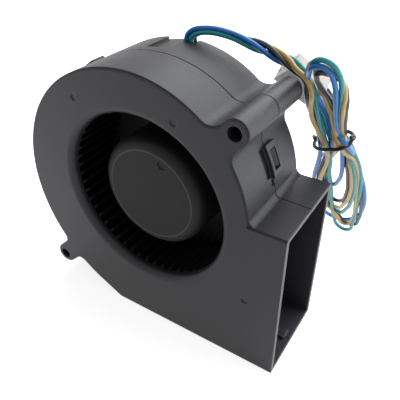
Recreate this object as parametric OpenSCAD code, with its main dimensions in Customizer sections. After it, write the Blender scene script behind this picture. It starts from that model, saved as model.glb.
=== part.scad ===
// A dc blower fan: a moulded scroll housing in two snapped shells, a forward-curved
// impeller on an external-rotor motor, and a four-wire lead tied in a hank with its plug.
// Sizes are millimetres. X points towards the outlet, Y from the inlet to the back wall,
// and Z up from the flat foot. The origin is under the middle of the housing.
// Depths are counted from the inlet face towards the back.

/* [Housing] */
// Overall width, from the scroll's far side to the mouth of the outlet
housing_w = 100; // [92:1:110]
// Overall height, from the foot to the top of the scroll
housing_h = 95; // [88:1:104]
// Overall depth, from the inlet face to the back
housing_d = 33; // [32:1:36]
// Depth of the front shell, down to the parting line
front_d = 17; // [14:0.5:20]
// Thickness of the scroll and duct walls
wall = 1.5; // [1.2:0.1:2]
// Thickness of the inlet face and of the back wall
face_wall = 1.8; // [1.5:0.1:2.2]
// Radius of the scroll's tight arc, next to the outlet
scroll_small_r = 40.7; // [40:0.1:42]
// Radius of the scroll's wide arc, over the far side
scroll_large_r = 47.9; // [46:0.1:50]
// Slope of the straight toe between the scroll and the foot
toe_slope = 27.8; // [24:0.2:32]
// Step of the broken edge around the inlet face
edge_step = 0.5; // [0.3:0.1:0.8]
// Depth of the lip that locates one shell in the other
lip_d = 1.5; // [1:0.1:2]
// Width and depth of the shadow gap along the parting line
seam = 0.3; // [0.2:0.05:0.4]

/* [Outlet] */
// Outside height of the outlet duct
outlet_h = 58.2; // [56:0.2:62]
// Fillet between the scroll and the top of the duct
outlet_root_r = 2.5; // [1.5:0.1:4]

/* [Screw bosses] */
// Outside radius of a boss
boss_r = 4; // [3.8:0.1:4.5]
// Radius of the screw hole
screw_hole_r = 2.15; // [1.6:0.05:2.3]
// Direction of the high boss, seen from the tight arc's centre
boss_high_turn = 41.6; // [36:0.2:46]
// How far the high boss stands out of the scroll
boss_high_out = 6.3; // [5:0.1:8]
// Fillet at the root of the high boss
boss_high_root = 5; // [3:0.5:6]
// Direction of the low boss, seen from the wide arc's centre
boss_low_turn = 222.2; // [218:0.2:226]
// How far the low boss stands out of the scroll
boss_low_out = 8; // [6.5:0.1:9]
// Fillet at the root of the low boss
boss_low_root = 3.5; // [2:0.5:4]

/* [Inlet] */
// Radius of the inlet throat
inlet_r = 29.6; // [27:0.1:30]
// Rounding of the inlet's bell mouth
lip_r = 2.5; // [1.5:0.1:3]

/* [Impeller] */
// How far the rotor axis is from the tight arc's centre, sideways
rotor_dx = 2.1; // [1.8:0.1:2.4]
// How far the rotor axis is below the tight arc's centre
rotor_drop = 2.3; // [2:0.1:2.6]
// Number of blades
blade_count = 55; // [41:1:61]
// Outside radius of the blade ring
blade_outer_r = 36; // [34:0.2:36.6]
// Inside radius of the blade ring
blade_inner_r = 30.6; // [30.2:0.1:31.5]
// Thickness of a blade
blade_t = 0.7; // [0.5:0.05:0.9]
// Depth of the blades' front ends
blade_front = 4.2; // [4:0.1:5]
// Gap between the impeller's base disc and the back wall
base_gap = 4.2; // [4:0.1:4.4]
// Thickness of the base disc
base_t = 1.4; // [1.2:0.1:2]
// Width of the ring that ties the blades' front ends
tie_ring_w = 1.8; // [1.4:0.1:2.4]
// Thickness of that ring
tie_ring_t = 1.2; // [0.9:0.1:1.6]
// Outside radius of the hub
hub_r = 19.7; // [19.5:0.1:20.4]
// Depth of the hub's flat face
hub_front = 4.8; // [4.5:0.1:5.2]
// Rounding of the hub's shoulder
hub_shoulder = 3.6; // [2:0.1:4]
// Thickness of the hub's face
hub_face_t = 1.4; // [1.2:0.1:1.6]

/* [Motor] */
// Outside radius of the steel rotor cup
yoke_r = 17.8; // [17:0.1:18]
// Thickness of the rotor cup's wall
yoke_t = 1; // [0.8:0.05:1.2]
// Thickness of the ring magnet
magnet_t = 1.9; // [1.5:0.1:2.2]
// How far inside the rotor cup's rim the ring magnet ends
magnet_inset = 1.5; // [1:0.5:3]
// Gap between the magnet and the stator
air_gap = 0.4; // [0.3:0.05:0.6]
// Number of stator poles
pole_count = 6; // [4:2:8]
// How much shorter than the magnet the lamination stack is
stack_short = 4; // [3.5:0.5:6]
// Width of a pole's arm
arm_w = 3; // [2.4:0.1:3.4]
// Radius of the shaft
shaft_r = 1.5; // [1.4:0.05:1.6]
// Outside radius of a ball bearing
bearing_r = 4; // [3.8:0.1:4.2]
// Width of a ball bearing
bearing_w = 4; // [3.5:0.1:4]
// Wall of the brass bearing tube
tube_wall = 1; // [0.8:0.1:1.2]
// Outside radius of the circuit board
board_r = 16.4; // [15.5:0.1:16.6]
// Thickness of the circuit board
board_t = 1.2; // [1:0.1:1.4]

/* [Lead] */
// Outside diameter of one wire
wire_d = 1.7; // [1.4:0.1:1.8]
// Thickness of the tied hank
hank_t = 6; // [5:0.5:7]
// Width of the four-way plug
plug_w = 10.4; // [10:0.1:11]
// Length of the plug
plug_l = 13.5; // [12:0.1:14]
// Thickness of the plug
plug_t = 6; // [5.5:0.1:6.5]

/* [Hidden] */
$fn = 96;

cut = 1;             // how far a cutting tool runs past a face
fit = 0.05;          // clearance between pieces that slide together
blend = 0.05;        // how far a fillet bites into the walls that it joins

// Scroll: two arcs that share a vertical line and meet at the top
scroll_x = scroll_large_r - housing_w / 2;
small_c = [scroll_x, housing_h - scroll_small_r];
large_c = [scroll_x, housing_h - scroll_large_r];
mouth_x = housing_w / 2;
rotor_c = small_c + [rotor_dx, -rotor_drop];
boss_high = small_c + (scroll_small_r + boss_high_out) * dir(boss_high_turn);
boss_low = large_c + (scroll_large_r + boss_low_out) * dir(boss_low_turn);
back_in = housing_d - face_wall;

// Fillet between the tight arc and the duct
root_c = [
    small_c.x + sqrt(pow(scroll_small_r + outlet_root_r, 2)
        - pow(outlet_h + outlet_root_r - small_c.y, 2)),
    outlet_h + outlet_root_r
];
root_turn = atan2(root_c.y - small_c.y, root_c.x - small_c.x);

// Latches on the parting line
latch_l = 10;        // length along the wall
latch_window = 6.4;  // length of the window in the loop
latch_reach = 4.6;   // how far the loop laps the back shell
latch_bar = 1.2;     // width of the loop's end bar
latch_t = 1.2;       // how far the loop stands off the wall
latch_slot = 0.65;   // depth of the relief slots beside it
small_latches = [22.5];
large_latches = [129.5, 200];

// Motor stack, as depths
impeller_back = back_in - base_gap;
cup_front = hub_front + hub_face_t;
cup_back = impeller_back - 3;
magnet_front = cup_front + yoke_t + 1.3;
magnet_back = cup_back - magnet_inset;
magnet_r = yoke_r - yoke_t;
stack_r = magnet_r - magnet_t - air_gap;
stack_front = magnet_front + stack_short / 2 + 0.8;
stack_back = magnet_back - stack_short / 2 + 0.8;
insulator_t = 1;
tube_r = bearing_r + tube_wall;
tube_front = cup_front + yoke_t + 2.4;
bearing_front = tube_front + 1;
rear_bearing_front = back_in - 1.8 - bearing_w;
core_rim = 2.4;      // iron around the bearing tube
shoe_t = 1.6;        // thickness of a pole's shoe
coil_in = tube_r + core_rim + 1.1;
coil_out = stack_r - shoe_t - 0.6;
coil_w = 7.2;
arm_l = stack_back - stack_front + 2 * insulator_t;
coil_over = 1.8;     // how far a winding stands over its insulator
board_front = impeller_back - 1.9;
board_back = board_front + board_t;
pedestal_r = 9;
clip_t = 0.4;
race_t = 0.65;

// Channel that takes the wires from the motor to the edge of the back shell
lead_x = -0.5;
wire_pitch = wire_d + 0.1;
channel_w = wire_pitch + wire_d + 1;
channel_d = wire_pitch + wire_d + 0.2;
channel_wall = 1;
rim_recess_d = 12.2; // depth of the sloped recess beside it
lead_start = rotor_c.y + board_r - 3.4;
wire_depths = [housing_d - channel_d + 0.1 + wire_d / 2, housing_d - 0.1 - wire_d / 2];

// Lead: the free run rises from the channel and comes down on the hank
bundle_r = 1.2 * wire_d;
lead_path = [
    [-0.5, 14.6, 95], [-0.3, 14.7, 96.3], [0.6, 14.9, 97.6], [2.2, 15.3, 98.6],
    [4.4, 15.8, 99.1], [7, 16.3, 99.2], [10, 17, 98.9], [13.4, 17.9, 98.1],
    [16.8, 18.7, 96.9], [20.2, 19.4, 95.6], [23.6, 20, 94.3], [26.8, 20.5, 93.1],
    [29.8, 20.9, 91.9], [32.4, 21.2, 90.6], [34.8, 21.3, 89.2], [36.6, 21.4, 87.4]
];

// Hank: leans at an angle against the back of the high boss and stands on the floor
hank_lean = 30;
hank_foot_y = 71.2;
hank_top_c = [41.8, 106];   // middle of the round top, across and up the slope
hank_top_r = 6.5;
hank_tie_c = [43.3, 68.5];
hank_tie_w = 11;
hank_tie_l = 5;
hank_low_c = [43.7, 12.75];
hank_low_r = 11;
hank_low_l = 28;
tie_l = 1.4;
tie_t = 0.8;
plug_c = [31.6, 93.2];
plug_turn = 45;
contact_w = 1.5;
contact_pitch = 2.54;

function dir(turn) = [cos(turn), sin(turn)];
function span(len, r) = len / r * 180 / PI;

// ---------- placing ----------

// Extrudes an outline drawn in X and Z between two depths
module slab(from, to) {
    translate([0, to - housing_d / 2, 0]) rotate([90, 0, 0]) linear_extrude(to - from) children();
}

// Turns a profile of radius and depth about a line along Y, from one direction to another
module turned(c, from = 0, to = 360) {
    translate([c.x, -housing_d / 2, c.y]) rotate([-90, 0, 0]) rotate([0, 0, -to])
        rotate_extrude(angle = to - from) children();
}

// A plain ring about the rotor axis
module ring(r_out, r_in, from, to) {
    turned(rotor_c) translate([r_in, from]) square([r_out - r_in, to - from]);
}

// A round bar or hole along Y
module bar(c, r, from, to) {
    slab(from, to) translate(c) circle(r);
}

// ---------- housing outline ----------

function toe_top(inset) = large_c + (scroll_large_r - inset) * [-sin(toe_slope), -cos(toe_slope)];
function toe_foot(inset) =
    [toe_top(inset).x + (toe_top(inset).y - inset) / tan(toe_slope), inset];

// The scroll, its toe and the duct, drawn in by an inset and run out past the mouth
module scroll_area(inset = 0, past = 0) {
    intersection() {
        translate(small_c) circle(scroll_small_r - inset);
        translate([small_c.x, outlet_h / 2]) square([scroll_small_r, housing_h]);
    }
    intersection() {
        translate(large_c) circle(scroll_large_r - inset);
        translate([scroll_x - housing_w, inset]) square([housing_w, housing_h]);
    }
    polygon([toe_top(inset), toe_foot(inset), [scroll_x, inset], [scroll_x, toe_top(inset).y]]);
    translate([scroll_x - cut, inset])
        square([mouth_x - scroll_x + cut + past, outlet_h - 2 * inset]);
}

// A boss's neck with its root fillets on an arc of the scroll
module neck_area(c, r, turn, out, root, inset) {
    root_x = sqrt(pow(r + root, 2) - pow(boss_r + root, 2));
    root_y = boss_r + root;
    foot = [root_x, root_y] * r / (r + root);
    flank = boss_r - inset - blend;
    translate(c) rotate(turn) difference() {
        polygon([
            [foot.x - 2, -foot.y - 0.4], [root_x, -root_y], [root_x, -flank], [r + out, -flank],
            [r + out, flank], [root_x, flank], [root_x, root_y], [foot.x - 2, foot.y + 0.4]
        ]);
        for (side = [-1, 1]) translate([root_x, side * root_y]) circle(root + inset + blend);
    }
}

module root_area(inset) {
    foot = small_c + scroll_small_r * dir(root_turn);
    difference() {
        polygon([
            foot + [-wall, -wall / 2], foot + [-wall / 2, 0.6], root_c,
            [root_c.x, outlet_h - wall / 2]
        ]);
        translate(root_c) circle(outlet_root_r + inset + blend);
    }
}

module housing_area(inset = 0) {
    scroll_area(inset);
    root_area(inset);
    neck_area(small_c, scroll_small_r, boss_high_turn, boss_high_out, boss_high_root, inset);
    neck_area(large_c, scroll_large_r, boss_low_turn, boss_low_out, boss_low_root, inset);
    for (c = [boss_high, boss_low]) translate(c) circle(boss_r - inset);
}

// ---------- latches ----------

// One of the front shell's loops, which laps over the back shell
module latch_loop(c, r, turn) {
    half = span(latch_l / 2, r);
    window = span(latch_window / 2, r);
    difference() {
        union() {
            turned(c, turn - half, turn + half)
                translate([r - wall / 3, front_d - 1]) square([wall / 3 + latch_t, 0.9]);
            turned(c, turn - half, turn + half)
                translate([r + fit, front_d - 0.5]) square([latch_t - fit, latch_reach + 0.5]);
        }
        turned(c, turn - window, turn + window)
            translate([r + fit / 2, front_d + 0.2])
                square([latch_t + cut, latch_reach - latch_bar - 0.2]);
    }
}

// The relief slots in the front shell, ahead of the loop and beside it
module latch_slots(c, r, turn) {
    half = span(latch_l / 2, r);
    gap = span(0.4, r);
    turned(c, turn - half + gap, turn + half - gap)
        translate([r - latch_slot, front_d - 3.4]) square([latch_slot + cut, 2.2]);
    turned(c, turn - half - 7 * gap, turn - half - gap)
        translate([r - latch_slot, front_d - 1.4]) square([latch_slot + cut, 1.4 + cut]);
}

// The back shell's wedge, which the loop's end bar snaps behind
module latch_wedge(c, r, turn) {
    half = span(latch_window / 2 - 0.4, r);
    wedge_back = front_d + latch_reach - latch_bar - 0.2;
    turned(c, turn - half, turn + half)
        polygon([
            [r - wall / 3, front_d + 0.6], [r + latch_t * 0.8, wedge_back],
            [r - wall / 3, wedge_back]
        ]);
}

// ---------- shells ----------

module front_shell() color([0.14, 0.14, 0.15]) difference() {
    union() {
        slab(0, edge_step) housing_area(edge_step);
        slab(edge_step, face_wall) housing_area();
        slab(face_wall, front_d) difference() {
            housing_area();
            scroll_area(wall, cut);
        }
        turned(rotor_c) translate([inlet_r, 0]) square([lip_r - 0.6, lip_r + 0.9]);
        for (turn = small_latches) latch_loop(small_c, scroll_small_r, turn);
        for (turn = large_latches) latch_loop(large_c, scroll_large_r, turn);
    }
    // bell mouth
    turned(rotor_c) union() {
        translate([0, -cut]) square([inlet_r, lip_r + 2 * cut + face_wall]);
        difference() {
            translate([0, -cut]) square([inlet_r + lip_r, lip_r + cut]);
            translate([inlet_r + lip_r, lip_r]) circle(lip_r);
        }
    }
    for (c = [boss_high, boss_low]) bar(c, screw_hole_r, -cut, front_d + cut);
    for (turn = small_latches) latch_slots(small_c, scroll_small_r, turn);
    for (turn = large_latches) latch_slots(large_c, scroll_large_r, turn);
    // rebate for the back shell's lip
    slab(front_d - lip_d - 2 * fit, front_d + cut) scroll_area(wall / 2, cut);
    // ejector marks
    for (mark = [[-22.8, 30.7], [14.3, 31.7], [38.5, -23.1]])
        bar(rotor_c + mark, 1.1, -cut, 0.3);
}

module back_shell() color([0.13, 0.13, 0.14]) difference() {
    union() {
        slab(front_d, front_d + seam) difference() {
            housing_area(seam);
            scroll_area(wall, cut);
        }
        slab(front_d + seam, housing_d) difference() {
            housing_area();
            scroll_area(wall, cut);
        }
        slab(front_d - lip_d, front_d + seam) difference() {
            scroll_area(wall / 2 + fit);
            scroll_area(wall, cut);
        }
        slab(back_in, housing_d) housing_area();
        for (turn = small_latches) latch_wedge(small_c, scroll_small_r, turn);
        for (turn = large_latches) latch_wedge(large_c, scroll_large_r, turn);
        ring(pedestal_r, tube_r, board_back, back_in + fit);
        // inner box of the wire channel
        slab(housing_d - channel_d - channel_wall, back_in + fit)
            translate([lead_x - channel_w / 2 - channel_wall, lead_start - 3])
                square([channel_w + 2 * channel_wall, housing_h - wall / 2 - lead_start + 3]);
        // locating block inside the foot of the duct
        slab(front_d - 3, front_d + 1.5) translate([mouth_x - 5.5, wall - fit]) square([3.5, 1]);
    }
    // wire channel, open to the back, with its window to the motor
    slab(housing_d - channel_d, housing_d + cut)
        translate([lead_x - channel_w / 2, lead_start - 2])
            square([channel_w, housing_h]);
    slab(board_back, housing_d)
        translate([lead_x - channel_w / 2, lead_start - 2]) square([channel_w, 6]);
    // sloped recess in the rim beside the wire exit
    slab(housing_d - rim_recess_d, housing_d + cut)
        polygon([
            [lead_x - 9.5, housing_h + cut], [lead_x - 9.5, housing_h - 1.6],
            [lead_x + 0.5, housing_h + 0.3], [lead_x + 0.5, housing_h + cut]
        ]);
    // shallow round recess in the back wall
    bar(rotor_c, hub_r, housing_d - 0.4, housing_d + cut);
    for (c = [boss_high, boss_low]) bar(c, screw_hole_r, front_d - cut, housing_d + cut);
}

// ---------- impeller ----------

// A forward-curved blade: an arc of even thickness between the blade ring's two radii
module blade_area() {
    camber_r = 4.6;
    camber_c = [blade_inner_r - 0.2, camber_r];
    intersection() {
        difference() {
            translate(camber_c) circle(camber_r + blade_t / 2);
            translate(camber_c) circle(camber_r - blade_t / 2);
            translate([camber_c.x - 2 * camber_r, -2 * camber_r])
                square([2 * camber_r, 5 * camber_r]);
            translate([camber_c.x, camber_c.y]) square(2 * camber_r);
        }
        difference() {
            circle(blade_outer_r);
            circle(blade_inner_r);
        }
    }
}

// The blades, tied at the front by a ring and welded by their back ends to the base disc
module blade_ring() color([0.06, 0.06, 0.07]) {
    ring(blade_outer_r, blade_outer_r - tie_ring_w, blade_front, blade_front + tie_ring_t);
    slab(blade_front, impeller_back - base_t) translate(rotor_c)
        for (i = [0 : blade_count - 1]) rotate(i * 360 / blade_count) blade_area();
}

// The hub and the base disc that carries the blades
module impeller() color([0.06, 0.06, 0.07]) difference() {
    union() {
        turned(rotor_c) hub_profile();
        ring(blade_outer_r, hub_r - 0.5, impeller_back - base_t, impeller_back);
    }
    // gate mark on the hub's face
    bar(rotor_c + [5.6, 13], 1.5, hub_front - cut, hub_front + 0.3);
}

// The hub's cup, with a rounded shoulder
module hub_profile() {
    difference() {
        union() {
            translate([0, hub_front]) square([hub_r - hub_shoulder, hub_shoulder]);
            translate([0, hub_front + hub_shoulder])
                square([hub_r, impeller_back - hub_front - hub_shoulder]);
            intersection() {
                translate([hub_r - hub_shoulder, hub_front + hub_shoulder]) circle(hub_shoulder);
                translate([0, hub_front]) square([hub_r, hub_shoulder]);
            }
        }
        translate([-cut, cup_front]) square([yoke_r + cut, impeller_back]);
    }
}

// ---------- rotor ----------

module rotor_cup() color([0.6, 0.61, 0.63]) {
    ring(yoke_r, yoke_r - yoke_t, cup_front, cup_back);
    ring(yoke_r, shaft_r + 1.5, cup_front, cup_front + yoke_t);
}

module magnet_ring() color([0.2, 0.18, 0.17])
    ring(magnet_r, magnet_r - magnet_t, magnet_front, magnet_back);

module shaft_bush() color([0.72, 0.58, 0.28]) {
    ring(shaft_r + 1.5, shaft_r, cup_front, cup_front + yoke_t);
    ring(shaft_r + 2.5, shaft_r, cup_front + yoke_t, bearing_front - 1.4);
}

module shaft() color([0.75, 0.76, 0.78]) difference() {
    bar(rotor_c, shaft_r, cup_front, back_in - 0.6);
    ring(shaft_r + cut, shaft_r - 0.4, back_in - 1.8, back_in - 1.8 + clip_t);
}

module preload_washer() color([0.66, 0.67, 0.69])
    ring(shaft_r + race_t, shaft_r, bearing_front - 1.4, bearing_front);

module retaining_clip() color([0.35, 0.35, 0.36])
    ring(shaft_r + 1.2, shaft_r - 0.4, back_in - 1.8, back_in - 1.8 + clip_t);

// ---------- bearings ----------

module bearing_outer(from) color([0.7, 0.71, 0.73]) {
    ring(bearing_r, bearing_r - race_t, from, from + bearing_w);
    for (at = [from, from + bearing_w - 0.3])
        ring(bearing_r, shaft_r + race_t + fit, at, at + 0.3);
}

module bearing_inner(from) color([0.78, 0.79, 0.8])
    ring(shaft_r + race_t, shaft_r, from, from + bearing_w);

module bearing_tube() color([0.74, 0.6, 0.3]) {
    ring(tube_r, bearing_r, tube_front, back_in);
    ring(tube_r, bearing_r - race_t, bearing_front + bearing_w, rear_bearing_front);
}

// ---------- stator ----------

module pole_arms(w, r) {
    for (i = [0 : pole_count - 1]) rotate(i * 360 / pole_count)
        translate([0, -w / 2]) square([r, w]);
}

module stator_area() {
    shoe_half = 180 / pole_count - 4;
    difference() {
        union() {
            circle(tube_r + core_rim);
            intersection() {
                pole_arms(arm_w, stack_r);
                circle(stack_r - 1);
            }
            for (i = [0 : pole_count - 1]) rotate(i * 360 / pole_count) intersection() {
                difference() {
                    circle(stack_r);
                    circle(stack_r - shoe_t);
                }
                polygon([
                    [0, 0], 2 * stack_r * dir(-shoe_half), [2 * stack_r, 0],
                    2 * stack_r * dir(shoe_half)
                ]);
            }
        }
        circle(tube_r);
    }
}

module insulator_area() {
    difference() {
        union() {
            circle(tube_r + core_rim);
            pole_arms(arm_w, coil_out + 0.6);
        }
        circle(tube_r);
    }
}

module stator_core() color([0.5, 0.51, 0.52])
    slab(stack_front, stack_back) translate(rotor_c) stator_area();

module front_insulator() color([0.86, 0.85, 0.8])
    slab(stack_front - insulator_t, stack_front) translate(rotor_c) insulator_area();

module rear_insulator() color([0.86, 0.85, 0.8]) {
    slab(stack_back, stack_back + insulator_t) translate(rotor_c) insulator_area();
    ring(tube_r + 1.4, tube_r, stack_back + insulator_t, board_front);
}

// A copper winding around one pole's arm
module coil(i) color([0.72, 0.4, 0.2]) translate([rotor_c.x, 0, rotor_c.y])
    rotate([0, -i * 360 / pole_count, 0]) difference() {
        translate([coil_in, stack_front - insulator_t - coil_over - housing_d / 2, -coil_w / 2])
            cube([coil_out - coil_in, arm_l + 2 * coil_over, coil_w]);
        translate([coil_in - cut, stack_front - insulator_t - housing_d / 2, -arm_w / 2])
            cube([coil_out - coil_in + 2 * cut, arm_l, arm_w]);
    }

module circuit_board() color([0.1, 0.32, 0.2])
    ring(board_r, tube_r, board_front, board_back);

module driver_chip() color([0.08, 0.08, 0.09]) slab(board_back, board_back + 1.5)
    translate(rotor_c + [9.6, -2.5]) square([4, 5]);

module hall_sensor() color([0.1, 0.1, 0.1]) slab(board_front - 1.2, board_front)
    translate(rotor_c) rotate(180 / pole_count) translate([13.2, -2]) square([2.6, 4]);

module capacitor() color([0.75, 0.68, 0.5])
    bar(rotor_c + [-12, -3], 1.8, board_back, board_back + 2.6);

// ---------- lead ----------

// A wire's end, soldered in the board and laid along the channel to the housing's edge
module wire_end(side, row) {
    x = lead_x + (side - 0.5) * wire_pitch;
    z = lead_start + (1 - row) * 2;
    union() {
        bar([x, z], wire_d / 2, board_back, wire_depths[row] + wire_d / 2);
        translate([x, wire_depths[row] - housing_d / 2, z - wire_d / 2])
            cylinder(h = housing_h - z + wire_d / 2, d = wire_d);
    }
}

module wire_end_blue() color([0.1, 0.42, 0.75]) wire_end(0, 0);
module wire_end_green() color([0.05, 0.5, 0.42]) wire_end(1, 0);
module wire_end_yellow() color([0.85, 0.7, 0.35]) wire_end(0, 1);
module wire_end_black() color([0.05, 0.05, 0.06]) wire_end(1, 1);

// A tube swept along a list of points, with each ring square to the run
module tube_along(points, r, sides) {
    last = len(points) - 1;
    ahead = [for (i = [0 : last]) let (d = points[min(i + 1, last)] - points[max(i - 1, 0)]) d / norm(d)];
    rings = [
        for (i = [0 : last])
            let (
                t = i == 0 ? [0, 0, 1] : ahead[i],
                a = cross(t, [0, 1, 0]) / norm(cross(t, [0, 1, 0])),
                b = cross(t, a)
            )
            for (k = [0 : sides - 1])
                points[i] + r * (cos(k * 360 / sides) * a + sin(k * 360 / sides) * b)
    ];
    walls = [
        for (i = [0 : last - 1]) for (k = [0 : sides - 1])
            [i * sides + k, i * sides + (k + 1) % sides,
                (i + 1) * sides + (k + 1) % sides, (i + 1) * sides + k]
    ];
    polyhedron(
        points = rings,
        faces = concat(
            [[for (k = [sides - 1 : -1 : 0]) k]],
            walls,
            [[for (k = [0 : sides - 1]) last * sides + k]]
        )
    );
}

module lead_run() color([0.1, 0.4, 0.6]) tube_along(lead_path, bundle_r, 8);

// Places an outline drawn across and up the slope that the hank leans on
module on_slope(from, to) {
    translate([0, hank_foot_y, 0]) rotate([90 + hank_lean, 0, 0])
        translate([0, 0, -to]) linear_extrude(to - from) children();
}

module hank_area() {
    top = hank_top_c;
    tie = hank_tie_c;
    low = hank_low_c;
    translate(top) circle(hank_top_r);
    translate(low) circle(hank_low_r);
    translate([low.x - hank_low_r, low.y]) square([2 * hank_low_r, hank_low_l]);
    polygon([
        top + [hank_top_r, 0], top + [-hank_top_r, 0],
        tie + [-hank_tie_w / 2, hank_tie_l / 2], tie + [-hank_tie_w / 2, -hank_tie_l / 2],
        low + [-hank_low_r, hank_low_l], low + [hank_low_r, hank_low_l],
        tie + [hank_tie_w / 2, -hank_tie_l / 2], tie + [hank_tie_w / 2, hank_tie_l / 2]
    ]);
}

module lead_hank() color([0.1, 0.4, 0.6]) on_slope(-hank_t / 2, hank_t / 2) hank_area();

module twist_tie() color([0.05, 0.05, 0.05]) {
    difference() {
        on_slope(-hank_t / 2 - tie_t, hank_t / 2 + tie_t)
            translate(hank_tie_c - [hank_tie_w / 2 + tie_t, tie_l / 2])
                square([hank_tie_w + 2 * tie_t, tie_l]);
        on_slope(-hank_t / 2, hank_t / 2)
            translate(hank_tie_c - [hank_tie_w / 2, tie_l])
                square([hank_tie_w, 2 * tie_l]);
    }
    for (side = [-1, 1])
        on_slope(-tie_t, tie_t)
            translate(hank_tie_c + [side * (hank_tie_w / 2 + tie_t), 0]) rotate(90 - side * 50)
                translate([-0.4, -tie_t / 2]) square([3.6, tie_t]);
}

// Places an outline in the plug's own axes, with its mouth towards +y
module on_plug(from, to) {
    on_slope(hank_t / 2 + from, hank_t / 2 + to)
        translate(plug_c) rotate(plug_turn) children();
}

module plug_housing() color([0.88, 0.86, 0.8]) difference() {
    union() {
        on_plug(0, plug_t) translate([-plug_w / 2, -plug_l / 2]) square([plug_w, plug_l]);
        on_plug(plug_t, plug_t + 0.8) translate([-plug_w / 2 + 2, -plug_l / 2]) square([1.2, plug_l]);
    }
    for (i = [0 : 3])
        on_plug((plug_t - contact_w) / 2, (plug_t + contact_w) / 2)
            translate([(i - 1.5) * contact_pitch - contact_w / 2, -plug_l / 2 - cut])
                square([contact_w, plug_l + 2 * cut]);
}

module contact(i) color([0.78, 0.76, 0.7])
    on_plug((plug_t - contact_w) / 2, (plug_t + contact_w) / 2)
        translate([(i - 2.5) * contact_pitch - contact_w / 2, -plug_l / 2 + 1])
            square([contact_w, plug_l - 2]);

front_shell();
back_shell();
impeller();
blade_ring();
rotor_cup();
magnet_ring();
shaft();
shaft_bush();
preload_washer();
retaining_clip();
bearing_tube();
bearing_outer(bearing_front);  // front_bearing_outer
bearing_inner(bearing_front);  // front_bearing_inner
bearing_outer(rear_bearing_front);  // rear_bearing_outer
bearing_inner(rear_bearing_front);  // rear_bearing_inner
stator_core();
front_insulator();
rear_insulator();
for (i = [1 : 6]) coil(i);
circuit_board();
driver_chip();
hall_sensor();
capacitor();
wire_end_blue();
wire_end_green();
wire_end_yellow();
wire_end_black();
lead_run();
lead_hank();
twist_tie();
plug_housing();
for (i = [1 : 4]) contact(i);
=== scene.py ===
import math

import bmesh
import bpy
from mathutils import Euler, Matrix, Vector


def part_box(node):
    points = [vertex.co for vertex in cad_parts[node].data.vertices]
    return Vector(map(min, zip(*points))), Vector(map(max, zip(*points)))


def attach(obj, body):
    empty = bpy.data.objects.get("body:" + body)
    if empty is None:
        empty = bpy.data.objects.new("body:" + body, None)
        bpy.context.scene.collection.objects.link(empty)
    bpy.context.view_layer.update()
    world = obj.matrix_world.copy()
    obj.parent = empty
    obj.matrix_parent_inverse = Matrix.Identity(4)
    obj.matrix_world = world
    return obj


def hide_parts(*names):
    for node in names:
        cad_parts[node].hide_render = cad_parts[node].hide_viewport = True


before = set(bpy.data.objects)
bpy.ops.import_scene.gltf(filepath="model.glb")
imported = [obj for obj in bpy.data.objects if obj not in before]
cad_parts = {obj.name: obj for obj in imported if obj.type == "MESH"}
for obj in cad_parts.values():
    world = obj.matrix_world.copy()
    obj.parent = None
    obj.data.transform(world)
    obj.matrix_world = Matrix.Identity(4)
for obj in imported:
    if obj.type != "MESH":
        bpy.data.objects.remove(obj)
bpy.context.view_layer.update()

# ---------------------------------------------------------------- camera
# It stands in front of the inlet, above and to the outlet's side, and looks down
# on the blower through a short telephoto lens.

camera_place = (0.08299, -0.10876, 0.14099)
turn, tip, roll = math.radians(33.194), math.radians(35.762), math.radians(0.726)
camera_data = bpy.data.cameras.new("camera")
camera_data.sensor_width = 36
camera_data.lens = 42.76
camera_data.clip_start = 0.01
camera = bpy.data.objects.new("camera", camera_data)
bpy.context.collection.objects.link(camera)
camera.matrix_world = (
    Matrix.Translation(camera_place)
    @ Euler((math.pi / 2 - tip, 0, turn)).to_matrix().to_4x4()
    @ Matrix.Rotation(-roll, 4, "Z")
)
bpy.context.scene.camera = camera


# ---------------------------------------------------------------- wires
# Four stranded wires in coloured pvc leave the back shell's channel side by side, cross to the
# hank in a loose twist, are folded four times and end in the plug. The hank leans on a slope
# behind the housing: a point on it is across, up the slope and out from its middle, in mm.

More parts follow.
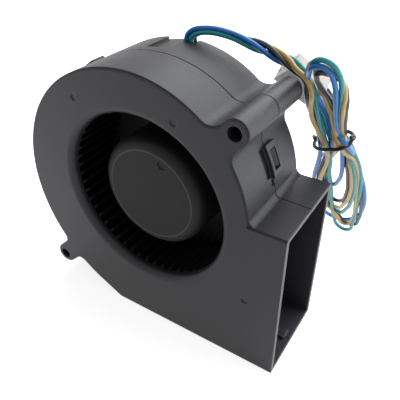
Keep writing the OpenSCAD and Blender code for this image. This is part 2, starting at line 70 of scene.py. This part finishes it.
MM = 0.001
wire_d = 1.7 * MM
wire_colours = {
    "blue": (0, 0.2, 0.64), "green": (0, 0.34, 0.37),
    "yellow": (0.82, 0.53, 0.17), "black": (0.012, 0.013, 0.018),
}
wire_shade = 0.72
hank_lean = math.radians(30)
hank_foot_y = 71.2
exit_run = [
    (-0.5, 14.65, 95), (-0.4, 14.7, 96.1), (0.4, 14.9, 97.2), (2, 15.3, 98),
    (4.4, 15.8, 98.4), (7, 16.3, 98.5), (10, 17, 98.2), (13.4, 17.9, 97.5),
    (16.8, 18.7, 96.5), (20.2, 19.4, 95.4), (23.6, 20, 94.3), (26.8, 20.5, 93.1),
    (29.8, 20.9, 91.9), (32.4, 21.2, 90.6),
]
hank_runs = {
    "green": [
        (37.2, 100.5, 0.6), (38.8, 97, -0.6), (39.2, 92, -1.4), (39.6, 85.5, -1.4), (40.4, 77.5, -1.2),
        (41.4, 70, -1.2), (42.2, 62.5, -1.2), (41.2, 52, -1), (41.2, 40.5, -0.8), (40.8, 26, -0.6),
        (41, 11.5, -0.5), (43.2, 3.6, -0.9), (46.8, 3, -1.1), (49.6, 12, -0.6), (51.4, 30, 0.2),
        (52.6, 44, 0.4), (52.4, 55.5, 0.6), (51, 64.5, 0.4), (49, 71, 0.2), (46, 76, 0.8),
        (42.8, 81, 1.8), (39.2, 87, 2.2), (36.8, 94, 2), (36.2, 100, 1.4), (37.4, 106, 0.4),
        (39.4, 110, -0.4), (41.9, 111.6, -0.6), (44.4, 110.9, -0.6), (46.4, 108, -0.6),
        (47.2, 104, -0.6), (47, 98, -0.6), (46.4, 92, -0.6), (46, 85.5, -0.8), (46.8, 77.5, -0.9),
        (48.2, 71.5, -1), (50, 63.5, -1.2), (51, 49, -1.4), (49.8, 36, -1.4), (47, 24.5, -1),
        (43, 17.5, 0), (39.4, 19, 1.2), (37.8, 30.5, 1.8), (39.4, 49.5, 1.8), (41, 60, 1.2),
        (42.4, 68.5, 0.4), (41.4, 75, 0.8), (39.2, 80, 2.6), (36.2, 83.4, 5), (33.4, 86, 6),
    ],
    "blue": [
        (35.8, 99, 1.8), (36.4, 94, 1), (36.8, 88.5, 0.4), (37.6, 82.5, -0.4), (38.8, 76, -1.2),
        (39.2, 69.5, -1.8), (37.8, 60, -1.8), (35, 47, -1.6), (33.6, 33, -1.2), (34.4, 21, -0.8),
        (37.6, 13, -0.4), (42.6, 9.6, 0.2), (47.6, 12, 0.4), (51.6, 18.5, 0.6), (53.8, 28.5, 0.8),
        (54, 39, 1), (53, 48.5, 1.2), (51.4, 57.5, 1.2), (50.2, 65.5, 0.4), (49.6, 72, -1.4),
        (48.4, 76.6, -2.4), (45.8, 79.4, -2), (42.6, 82.5, 0.2), (39.6, 87.5, 1.6), (37.4, 93, 1.6),
        (36.8, 100, 0.6), (37.8, 105.6, -0.8), (39.8, 109.4, -1.6), (42.2, 110.4, -1.8),
        (44.4, 108.8, -1.8), (45.6, 105, -1.8), (45.8, 97, -1.8), (45.4, 87, -1.6), (46, 78.5, -1.4),
        (46.8, 71.5, -1.4), (46.8, 64.5, -1.6), (46.4, 56.5, -1.6), (44.6, 47.5, -1), (41.4, 41, 0),
        (38, 40, 1.2), (36.4, 46.5, 1.8), (36.6, 56, 1.8), (40.4, 63.5, 0), (43, 70, -0.8), (43, 75.5, -0.6),
        (41.8, 80.5, 1), (39.2, 84.4, 3.6), (37, 86.2, 5.4), (35.2, 87.8, 6),
    ],
    "yellow": [
        (37.4, 101.5, -0.8), (38.4, 98, -1.8), (37.8, 92.5, -1.8), (37.4, 86, -1.8), (39.2, 78.5, -1.8),
        (41.2, 71.5, -2.2), (41.4, 62.5, -1.8), (38, 48.5, -1.6), (35.6, 34.5, -1.2), (36.6, 24, -0.8),
        (39.8, 19.6, -0.6), (42.8, 13.6, -1), (46, 8.4, -0.8), (49, 14, -0.2), (50.6, 28, 0),
        (51.2, 42, 0.2), (51.6, 55, 0.2), (50.2, 65, -0.6), (47.8, 71, -2.2), (46.4, 76.5, -2.4),
        (44.8, 82, -1.6), (43.4, 87.5, -0.4), (41.6, 93, 0.6), (40, 99, 0.6), (39.4, 103.5, 0.4),
        (40, 106.6, 0.2), (41.6, 108, 0.2), (43.4, 107.4, 0.6), (45.2, 105.4, 1), (47, 102.4, 0.8),
        (48, 98.5, -0.2), (47.8, 94, -1), (47.2, 85, -1), (47.2, 76.5, -0.4), (47.4, 69, 0.2),
        (49.2, 63, -1.2), (50, 52, -1.6), (49.2, 40.5, -1.8), (46.2, 29, -1.4), (42, 21.6, 0),
        (38.6, 23.4, 1.4), (37.4, 35.5, 1.8), (38.8, 51.5, 1.8), (41.6, 62, 0.2), (44.2, 69.5, -1),
        (43.8, 77, -0.4), (42.8, 83, 1.2), (40.6, 86.6, 4), (38.4, 88.4, 5.6), (36.6, 90, 6),
    ],
    "black": [
        (36, 101.5, -0.4), (36.6, 97.5, -1.6), (36.6, 92.5, -1.6), (36.4, 87.5, -0.4), (37.8, 81, -0.2),
        (39.6, 74, -0.2), (41.4, 67.5, -0.4), (39.2, 58.5, -0.4), (35.8, 43, -0.2), (35.8, 29.5, 0),
        (39.6, 22, 0), (43, 13.6, 0.2), (46, 9, -0.2), (49.2, 8, 0.2), (51.8, 15, 0.4),
        (53, 27.5, 0.4), (52.6, 41.5, 1), (51, 54, 1.6), (50.2, 63.5, 1.4), (49.2, 69, 1.4),
        (47, 74, 1.6), (46, 80, 1.4), (44.8, 87, 1), (43, 94, 0.4), (40.6, 100, -0.2),
        (40, 103.6, -0.6), (41, 106.4, -0.8), (43, 106, -0.2), (45, 103.6, 1.2), (47, 100.8, 1.6),
        (48.4, 96.5, 0), (48.2, 91, -0.6), (47.6, 81.5, -0.6), (46.6, 68.5, 1), (47.8, 63, -0.4),
        (48.2, 49.5, -0.8), (47.4, 38.5, -0.8), (44.2, 28.5, -0.2), (40.4, 26.6, 1), (37.8, 33, 1.2),
        (37.6, 48.5, 0.4), (41.6, 60, 1.4), (45, 69, 1), (44.6, 78.5, 0.6), (43.8, 85, 1.4),
        (42, 88.8, 3.8), (40.2, 90.4, 5.6), (38.4, 91.8, 6),
    ],
}
# How far each wire has turned about the bundle after so many mm: 180 on top, 270 in front
wire_turns = {
    "green": [
        (0, 315), (8, 290), (14, 292), (18, 308), (22, 335), (26, 380), (30, 440), (34, 500),
        (38, 560), (42, 605), (46, 650),
    ],
    "blue": [
        (0, 225), (8, 205), (14, 208), (18, 222), (22, 240), (26, 275), (30, 320), (34, 385),
        (38, 460), (42, 540), (46, 590),
    ],
    "yellow": [
        (0, 135), (8, 120), (14, 75), (18, 25), (22, 60), (26, 120), (30, 165), (34, 215),
        (38, 275), (42, 310), (46, 350),
    ],
    "black": [
        (0, 45), (8, 40), (14, 20), (18, 70), (22, 120), (26, 180), (30, 235), (34, 290),
        (38, 350), (42, 420), (46, 480),
    ],
}
bundle_r = [(0, 1.25), (6, 0.9), (16, 0.95), (24, 1.25), (46, 1.25)]


def on_slope(across, up, out):
    """A point of the leaning hank, in the row frame."""
    y = hank_foot_y - up * math.sin(hank_lean) + out * math.cos(hank_lean)
    return Vector((across, y, up * math.cos(hank_lean) + out * math.sin(hank_lean))) * MM


def between(pairs, at):
    """Reads a value off a list of (distance, value) pairs."""
    for (low, a), (high, b) in zip(pairs, pairs[1:]):
        if at <= high:
            return a + (b - a) * (at - low) / (high - low)
    return pairs[-1][1]


def twisted_run(turns):
    """One wire's place in the loose twist between the channel and the hank."""
    run, gone = [], 0
    for i, point in enumerate(exit_run):
        here = Vector(point)
        before, after = Vector(exit_run[max(i - 1, 0)]), Vector(exit_run[min(i + 1, len(exit_run) - 1)])
        ahead = (after - before).normalized() if i else Vector((0, 0, 1))
        gone += (here - before).length
        side = ahead.cross(Vector((0, 1, 0))).normalized()
        back = ahead.cross(side)
        angle = math.radians(between(turns, gone))
        off = side * -math.cos(angle) - back * math.sin(angle)
        run.append((here + off * between(bundle_r, gone)) * MM)
    return run


def node_group(name, inputs, outputs):
    """An empty shader group with named sockets, and its input and output nodes."""
    group = bpy.data.node_groups.new(name, "ShaderNodeTree")
    for socket, kind, value in inputs:
        made = group.interface.new_socket(socket, in_out="INPUT", socket_type="NodeSocket" + kind)
        made.default_value = value
    for socket, kind in outputs:
        group.interface.new_socket(socket, in_out="OUTPUT", socket_type="NodeSocket" + kind)
    return group, group.nodes.new("NodeGroupInput"), group.nodes.new("NodeGroupOutput")


def mix_colours(tree, amount, first, second):
    """Blends two colours, each a socket or a plain colour, and gives back the blend's socket."""
    blend = tree.nodes.new("ShaderNodeMix")
    blend.data_type = "RGBA"
    tree.links.new(amount, blend.inputs["Factor"])
    sockets = [socket for socket in blend.inputs if socket.type == "RGBA"]
    for socket, colour in zip(sockets, (first, second)):
        if isinstance(colour, tuple):
            socket.default_value = (*colour, 1)
        else:
            tree.links.new(colour, socket)
    return next(socket for socket in blend.outputs if socket.type == "RGBA")


def uneven_finish():
    """Two sizes of noise that vary a colour, a roughness and the height of a grain."""
    group, given, result = node_group(
        "uneven_finish",
        [("Vector", "Vector", (0, 0, 0)), ("Colour", "Color", (0.5, 0.5, 0.5, 1)),
         ("Tint", "Color", (0.4, 0.4, 0.4, 1)), ("Patch scale", "Float", 60),
         ("Grain scale", "Float", 3000), ("Roughness", "Float", 0.5), ("Spread", "Float", 0.1)],
        [("Colour", "Color"), ("Roughness", "Float"), ("Height", "Float")],
    )
    nodes, links = group.nodes, group.links
    patch, grain = nodes.new("ShaderNodeTexNoise"), nodes.new("ShaderNodeTexNoise")
    patch.inputs["Detail"].default_value = 4
    grain.inputs["Detail"].default_value = 2
    for noise, scale in ((patch, "Patch scale"), (grain, "Grain scale")):
        links.new(given.outputs["Vector"], noise.inputs["Vector"])
        links.new(given.outputs[scale], noise.inputs["Scale"])
    tinted = mix_colours(group, patch.outputs["Fac"], given.outputs["Colour"], given.outputs["Tint"])
    links.new(tinted, result.inputs["Colour"])
    away = nodes.new("ShaderNodeMath")
    away.operation = "SUBTRACT"
    links.new(grain.outputs["Fac"], away.inputs[0])
    away.inputs[1].default_value = 0.5
    rough = nodes.new("ShaderNodeMath")
    rough.operation = "MULTIPLY_ADD"
    rough.use_clamp = True
    links.new(away.outputs[0], rough.inputs[0])
    links.new(given.outputs["Spread"], rough.inputs[1])
    links.new(given.outputs["Roughness"], rough.inputs[2])
    links.new(rough.outputs[0], result.inputs["Roughness"])
    links.new(grain.outputs["Fac"], result.inputs["Height"])
    return group


uneven = uneven_finish()


def finish(name, colour, tint, roughness, patch=60, grain=3000, spread=0.1, depth=0.02, **plain):
    """A material in the uneven finish, with its other shader values given by name."""
    material = bpy.data.materials.new(name)
    material.use_nodes = True
    nodes, links = material.node_tree.nodes, material.node_tree.links
    shader = nodes["Principled BSDF"]
    place, look = nodes.new("ShaderNodeTexCoord"), nodes.new("ShaderNodeGroup")
    look.node_tree = uneven
    place.name, look.name = "place", "look"
    links.new(place.outputs["Object"], look.inputs["Vector"])
    look.inputs["Colour"].default_value = (*colour, 1)
    look.inputs["Tint"].default_value = (*tint, 1)
    look.inputs["Patch scale"].default_value = patch
    look.inputs["Grain scale"].default_value = grain
    look.inputs["Roughness"].default_value = roughness
    look.inputs["Spread"].default_value = spread
    links.new(look.outputs["Colour"], shader.inputs["Base Color"])
    links.new(look.outputs["Roughness"], shader.inputs["Roughness"])
    bump = nodes.new("ShaderNodeBump")
    bump.name = "bump"
    bump.inputs["Distance"].default_value = depth * MM
    links.new(look.outputs["Height"], bump.inputs["Height"])
    links.new(bump.outputs["Normal"], shader.inputs["Normal"])
    for socket, value in plain.items():
        shader.inputs[socket.replace("_", " ").title().replace("Ior", "IOR")].default_value = value
    return material


def dress(node, material):
    """Gives a node of the frame its material."""
    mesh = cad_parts[node].data
    mesh.materials.clear()
    mesh.materials.append(material)


wire_finish = {
    colour: finish(
        "pvc_" + colour, base, tuple(wire_shade * part for part in base), 0.3,
        patch=180, grain=900, spread=0.15, depth=0.03,
    )
    for colour, base in wire_colours.items()
}
wires = {}
for colour, run in hank_runs.items():
    path = twisted_run(wire_turns[colour]) + [on_slope(*point) for point in run]
    curve = bpy.data.curves.new("wire_" + colour, "CURVE")
    curve.dimensions = "3D"
    curve.resolution_u = 5
    curve.bevel_depth = wire_d / 2
    curve.bevel_resolution = 2
    curve.use_fill_caps = True
    spline = curve.splines.new("BEZIER")
    spline.bezier_points.add(len(path) - 1)
    for knot, place in zip(spline.bezier_points, path):
        knot.co = place
        knot.handle_left_type = knot.handle_right_type = "AUTO"
    wires[colour] = bpy.data.objects.new("wire_" + colour, curve)
    bpy.context.collection.objects.link(wires[colour])
    curve.materials.append(wire_finish[colour])
    dress("wire_end_" + colour, wire_finish[colour])
    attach(wires[colour], "housing")
    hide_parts("lead_run", "lead_hank")

# ---------------------------------------------------------------- housing
# Two shells of black glass-filled pbt, injection moulded with a fine spark-eroded grain and
# snapped together by their latches. Their corners are broken by a small radius.

black_plastic = finish(
    "moulded_black", (0.021, 0.021, 0.024), (0.03, 0.03, 0.034), 0.44,
    patch=35, grain=2600, spread=0.25, depth=0.07, specular_ior_level=0.3,
)
corner_round = 0.55 * MM


def round_corners(material, radius):
    """Softens a moulded piece's corners, under its grain."""
    nodes, links = material.node_tree.nodes, material.node_tree.links
    bevel = nodes.new("ShaderNodeBevel")
    bevel.samples = 8
    bevel.inputs["Radius"].default_value = radius
    links.new(bevel.outputs["Normal"], nodes["bump"].inputs["Normal"])


round_corners(black_plastic, corner_round)
for shell in ("front_shell", "back_shell"):
    dress(shell, black_plastic)

# ---------------------------------------------------------------- impeller
# One black pbt moulding for the hub and its base disc, with the ring of blades welded on. A thin grey
# ring painted where the hub's flat face meets its shoulder is a painted highlight. The blades are
# painted paler at their front ends as painted light and darker behind as painted shade.

impeller_black = finish(
    "impeller_black", (0.017, 0.017, 0.018), (0.023, 0.023, 0.024), 0.52,
    patch=50, grain=2200, spread=0.2, depth=0.03, specular_ior_level=0.15,
)
hub_round = 0.3 * MM
round_corners(impeller_black, hub_round)
nodes, links = impeller_black.node_tree.nodes, impeller_black.node_tree.links
axis = [(low + high) / 2 for low, high in zip(*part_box("impeller"))]
hub_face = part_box("impeller")[0][1]
# A thin grey ring on the hub face is a painted highlight, where the flat face turns into its shoulder
highlight_ring_r, highlight_ring_w = 16.1 * MM, 0.55 * MM
highlight_ring_grey = (0.075, 0.075, 0.078)
centred, flat, away = (
    nodes.new("ShaderNodeVectorMath"), nodes.new("ShaderNodeVectorMath"), nodes.new("ShaderNodeVectorMath")
)
centred.operation, flat.operation, away.operation = "SUBTRACT", "MULTIPLY", "LENGTH"
centred.inputs[1].default_value = (axis[0], hub_face, axis[2])
flat.inputs[1].default_value = (1, 0, 1)
links.new(nodes["place"].outputs["Object"], centred.inputs[0])
links.new(centred.outputs[0], flat.inputs[0])
links.new(flat.outputs[0], away.inputs[0])
highlight_ring_mask = nodes.new("ShaderNodeMath")
highlight_ring_mask.operation = "COMPARE"
highlight_ring_mask.inputs[1].default_value = highlight_ring_r
highlight_ring_mask.inputs[2].default_value = highlight_ring_w / 2
links.new(away.outputs["Value"], highlight_ring_mask.inputs[0])
painted_highlight_colour = mix_colours(
    impeller_black.node_tree, highlight_ring_mask.outputs[0], nodes["look"].outputs["Colour"], highlight_ring_grey
)
links.new(painted_highlight_colour, nodes["Principled BSDF"].inputs["Base Color"])
dress("impeller", impeller_black)

# The blades' black is darker than the hub's: painted shade for their depth inside the housing
blade_black_painted_shade = finish(
    "blade_black_painted_shade", (0.004, 0.004, 0.005), (0.007, 0.007, 0.008), 0.75,
    patch=50, grain=2200, spread=0.2, depth=0.02, specular_ior_level=0.1,
)
nodes, links = blade_black_painted_shade.node_tree.nodes, blade_black_painted_shade.node_tree.links
# Paler towards the blades' front ends: painted light where light reaches, fading into the painted shade
# behind
blade_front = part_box("blade_ring")[0][1]
painted_light_depth = 2 * MM
painted_light_grey = (0.11, 0.11, 0.115)
axes, painted_light_ramp = nodes.new("ShaderNodeSeparateXYZ"), nodes.new("ShaderNodeMapRange")
links.new(nodes["place"].outputs["Object"], axes.inputs["Vector"])
links.new(axes.outputs["Y"], painted_light_ramp.inputs["Value"])
painted_light_ramp.inputs["From Min"].default_value = blade_front + painted_light_depth
painted_light_ramp.inputs["From Max"].default_value = blade_front
painted_light_colour = mix_colours(
    blade_black_painted_shade.node_tree, painted_light_ramp.outputs["Result"], nodes["look"].outputs["Colour"], painted_light_grey
)
links.new(painted_light_colour, nodes["Principled BSDF"].inputs["Base Color"])
dress("blade_ring", blade_black_painted_shade)

# ---------------------------------------------------------------- motor
# The motor's pieces are all behind the hub: pressed and turned steel, a brass bearing tube, a
# bonded magnet, a stack of stamped laminations, nylon insulators and enamelled windings.

turned_steel = finish(
    "turned_steel", (0.5, 0.5, 0.51), (0.38, 0.38, 0.4), 0.28,
    patch=400, grain=1500, depth=0.004, metallic=1,
)
for node in (
    "rotor_cup", "shaft", "preload_washer", "front_bearing_outer", "front_bearing_inner",
    "rear_bearing_outer", "rear_bearing_inner",
):
    dress(node, turned_steel)
spring_steel = finish(
    "spring_steel", (0.16, 0.15, 0.15), (0.1, 0.1, 0.11), 0.35, patch=500, depth=0.004, metallic=1
)
dress("retaining_clip", spring_steel)
dress("magnet_ring", finish(
    "bonded_magnet", (0.05, 0.045, 0.043), (0.09, 0.085, 0.08), 0.7, patch=900, depth=0.02
))
turned_brass = finish(
    "turned_brass", (0.62, 0.43, 0.16), (0.5, 0.34, 0.12), 0.3,
    patch=400, grain=1500, depth=0.004, metallic=1,
)
for node in ("shaft_bush", "bearing_tube"):
    dress(node, turned_brass)

lamination_t = 0.5 * MM
iron_stack = finish(
    "iron_stack", (0.3, 0.31, 0.32), (0.2, 0.2, 0.21), 0.45, patch=300, depth=0.01, metallic=1
)
nodes, links = iron_stack.node_tree.nodes, iron_stack.node_tree.links
sheets = nodes.new("ShaderNodeTexWave")
sheets.bands_direction = "Y"
# A wave texture's phase is 20 times its scale, so a light and a dark band are one sheet each
sheets.inputs["Scale"].default_value = math.pi / (20 * lamination_t)
links.new(nodes["place"].outputs["Object"], sheets.inputs["Vector"])
links.new(sheets.outputs["Fac"], nodes["bump"].inputs["Height"])
dress("stator_core", iron_stack)

nylon = finish("nylon", (0.72, 0.7, 0.62), (0.64, 0.61, 0.52), 0.45, patch=120, depth=0.01)
for node in ("front_insulator", "rear_insulator"):
    dress(node, nylon)
enamelled = finish(
    "enamelled_copper", (0.45, 0.16, 0.05), (0.3, 0.1, 0.03), 0.3, patch=500, depth=0.02, metallic=1
)
for number in range(1, 7):
    dress(f"coil_{number}", enamelled)

# ---------------------------------------------------------------- circuit board
# A ring of glass-epoxy under green solder mask, with its driver, Hall sensor and capacitor
# soldered to it.

dress("circuit_board", finish(
    "solder_mask", (0.012, 0.11, 0.05), (0.008, 0.075, 0.035), 0.3, patch=300, depth=0.01,
    coat_weight=0.3,
))
chip_black = finish("chip_black", (0.02, 0.02, 0.021), (0.03, 0.03, 0.031), 0.5, depth=0.01)
for node in ("driver_chip", "hall_sensor"):
    dress(node, chip_black)
dress("capacitor", finish("ceramic", (0.55, 0.42, 0.25), (0.45, 0.34, 0.2), 0.4, depth=0.01))

# ---------------------------------------------------------------- plug
# A four-way crimp housing moulded in off-white nylon, with a tinned contact in each cavity. The
# wires run into its back.

plug_nylon = finish(
    "plug_nylon", (0.66, 0.6, 0.52), (0.72, 0.68, 0.62), 0.4, patch=90, depth=0.02,
    subsurface_weight=0.1,
)
plug_round = 0.4 * MM
round_corners(plug_nylon, plug_round)
dress("plug_housing", plug_nylon)
tinned = finish("tinned", (0.7, 0.69, 0.66), (0.58, 0.57, 0.55), 0.3, patch=600, metallic=1)
for number in range(1, 5):
    dress(f"contact_{number}", tinned)

# ---------------------------------------------------------------- twist tie
# A steel wire in a round coat of black plastic, bent round the hank's waist by hand. Its two
# ends stand out at the sides.

tie_d = 1.3 * MM
tie_middle = (43.3, 73, -0.2)
tie_reach, tie_depth, tie_rise = 6.5, 3.9, 3
tie_points = 16
# Below 1, the loop is squarer than an ellipse
tie_square = 0.7
tail_run = [(0, 0, 0), (0.6, 0.9, 0.6), (0.5, 2, 0.2), (-0.2, 2.6, -0.8)]
tie_black = finish("tie_black", (0.01, 0.01, 0.011), (0.016, 0.016, 0.018), 0.35, depth=0.01)
dress("twist_tie", tie_black)


def tie_curve(name, path, closed):
    """A length of the tie's round strip."""
    curve = bpy.data.curves.new(name, "CURVE")
    curve.dimensions = "3D"
    curve.resolution_u = 6
    curve.bevel_depth = tie_d / 2
    curve.bevel_resolution = 3
    curve.use_fill_caps = True
    spline = curve.splines.new("BEZIER")
    spline.bezier_points.add(len(path) - 1)
    spline.use_cyclic_u = closed
    for knot, place in zip(spline.bezier_points, path):
        knot.co = place
        knot.handle_left_type = knot.handle_right_type = "AUTO"
    piece = bpy.data.objects.new(name, curve)
    bpy.context.collection.objects.link(piece)
    curve.materials.append(tie_black)
    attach(piece, "housing")
    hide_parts("twist_tie")


middle_x, middle_up, middle_out = tie_middle
ring = []
for step in range(tie_points):
    angle = 2 * math.pi * step / tie_points
    across, out = (
        math.copysign(abs(part) ** tie_square, part) for part in (math.cos(angle), math.sin(angle))
    )
    ring.append(on_slope(
        middle_x + tie_reach * across, middle_up + tie_rise * across, middle_out + tie_depth * out
    ))
tie_curve("tie_ring", ring, True)
for side in (-1, 1):
    start = (middle_x + side * tie_reach, middle_up + side * tie_rise)
    tie_curve(
        "tie_tail_" + ("left" if side < 0 else "right"),
        [on_slope(start[0] + side * x, start[1] + up, middle_out + out) for x, up, out in tail_run],
        False,
    )

# ---------------------------------------------------------------- studio
# A white floor under a wide softbox above and behind the blower, with a low strip light to its
# right. The floor and the world are white to the camera and in reflections, and dimmer as lights.

floor_size = 8
paper_lift = 0.8
world_light = 0.22
lamp_colour = (0.93, 0.95, 1)


def background_seen(tree):
    """One for a ray that sees the background: straight, mirrored or through something clear."""
    seen = tree.nodes.new("ShaderNodeLightPath")
    most = seen.outputs["Is Camera Ray"]
    for ray in ("Is Glossy Ray", "Is Transmission Ray"):
        either = tree.nodes.new("ShaderNodeMath")
        either.operation = "MAXIMUM"
        tree.links.new(most, either.inputs[0])
        tree.links.new(seen.outputs[ray], either.inputs[1])
        most = either.outputs[0]
    return most


floor_mesh = bpy.data.meshes.new("floor")
plane = bmesh.new()
bmesh.ops.create_grid(plane, x_segments=1, y_segments=1, size=floor_size / 2)
plane.to_mesh(floor_mesh)
plane.free()
floor = bpy.data.objects.new("floor", floor_mesh)
bpy.context.collection.objects.link(floor)
paper = bpy.data.materials.new("paper")
paper.use_nodes = True
nodes, links = paper.node_tree.nodes, paper.node_tree.links
paper_noise, paper_shade = nodes.new("ShaderNodeTexNoise"), nodes.new("ShaderNodeMapRange")
paper_noise.inputs["Scale"].default_value = 30
paper_shade.inputs["To Min"].default_value = 0.9
paper_shade.inputs["To Max"].default_value = 0.94
links.new(paper_noise.outputs["Fac"], paper_shade.inputs["Value"])
links.new(paper_shade.outputs["Result"], nodes["Principled BSDF"].inputs["Base Color"])
nodes["Principled BSDF"].inputs["Roughness"].default_value = 0.9
nodes["Principled BSDF"].inputs["Specular IOR Level"].default_value = 0.1
glow, blend = nodes.new("ShaderNodeEmission"), nodes.new("ShaderNodeAddShader")
lift = nodes.new("ShaderNodeMath")
lift.operation = "MULTIPLY"
lift.inputs[1].default_value = paper_lift
links.new(background_seen(paper.node_tree), lift.inputs[0])
links.new(lift.outputs[0], glow.inputs["Strength"])
links.new(nodes["Principled BSDF"].outputs[0], blend.inputs[0])
links.new(glow.outputs[0], blend.inputs[1])
links.new(blend.outputs[0], nodes["Material Output"].inputs["Surface"])
floor_mesh.materials.append(paper)

world = bpy.data.worlds.new("studio")
world.use_nodes = True
bpy.context.scene.world = world
nodes, links = world.node_tree.nodes, world.node_tree.links
level = nodes.new("ShaderNodeMapRange")
level.inputs["To Min"].default_value = world_light
level.inputs["To Max"].default_value = 1
links.new(background_seen(world.node_tree), level.inputs["Value"])
links.new(level.outputs["Result"], nodes["Background"].inputs["Strength"])
nodes["Background"].inputs["Color"].default_value = (1, 1, 1, 1)

# Each lamp's place, the point it faces, its two sides and its power
softboxes = {
    "back_top": ((0.22, 0.6, 0.74), (0, 0, 0.06), (1.5, 1.2), 20),
    "right_side": ((0.85, 0.55, 0.14), (0, 0, 0.08), (0.9, 0.24), 2.5),
}
for name, (place, target, size, energy) in softboxes.items():
    lamp_data = bpy.data.lights.new(name, "AREA")
    lamp_data.shape = "RECTANGLE"
    lamp_data.size, lamp_data.size_y = size
    lamp_data.energy = energy
    lamp_data.color = lamp_colour
    lamp = bpy.data.objects.new(name, lamp_data)
    lamp.location = place
    lamp.rotation_euler = (Vector(target) - Vector(place)).to_track_quat("-Z", "Y").to_euler()
    bpy.context.collection.objects.link(lamp)

bpy.context.scene.view_settings.view_transform = "Standard"
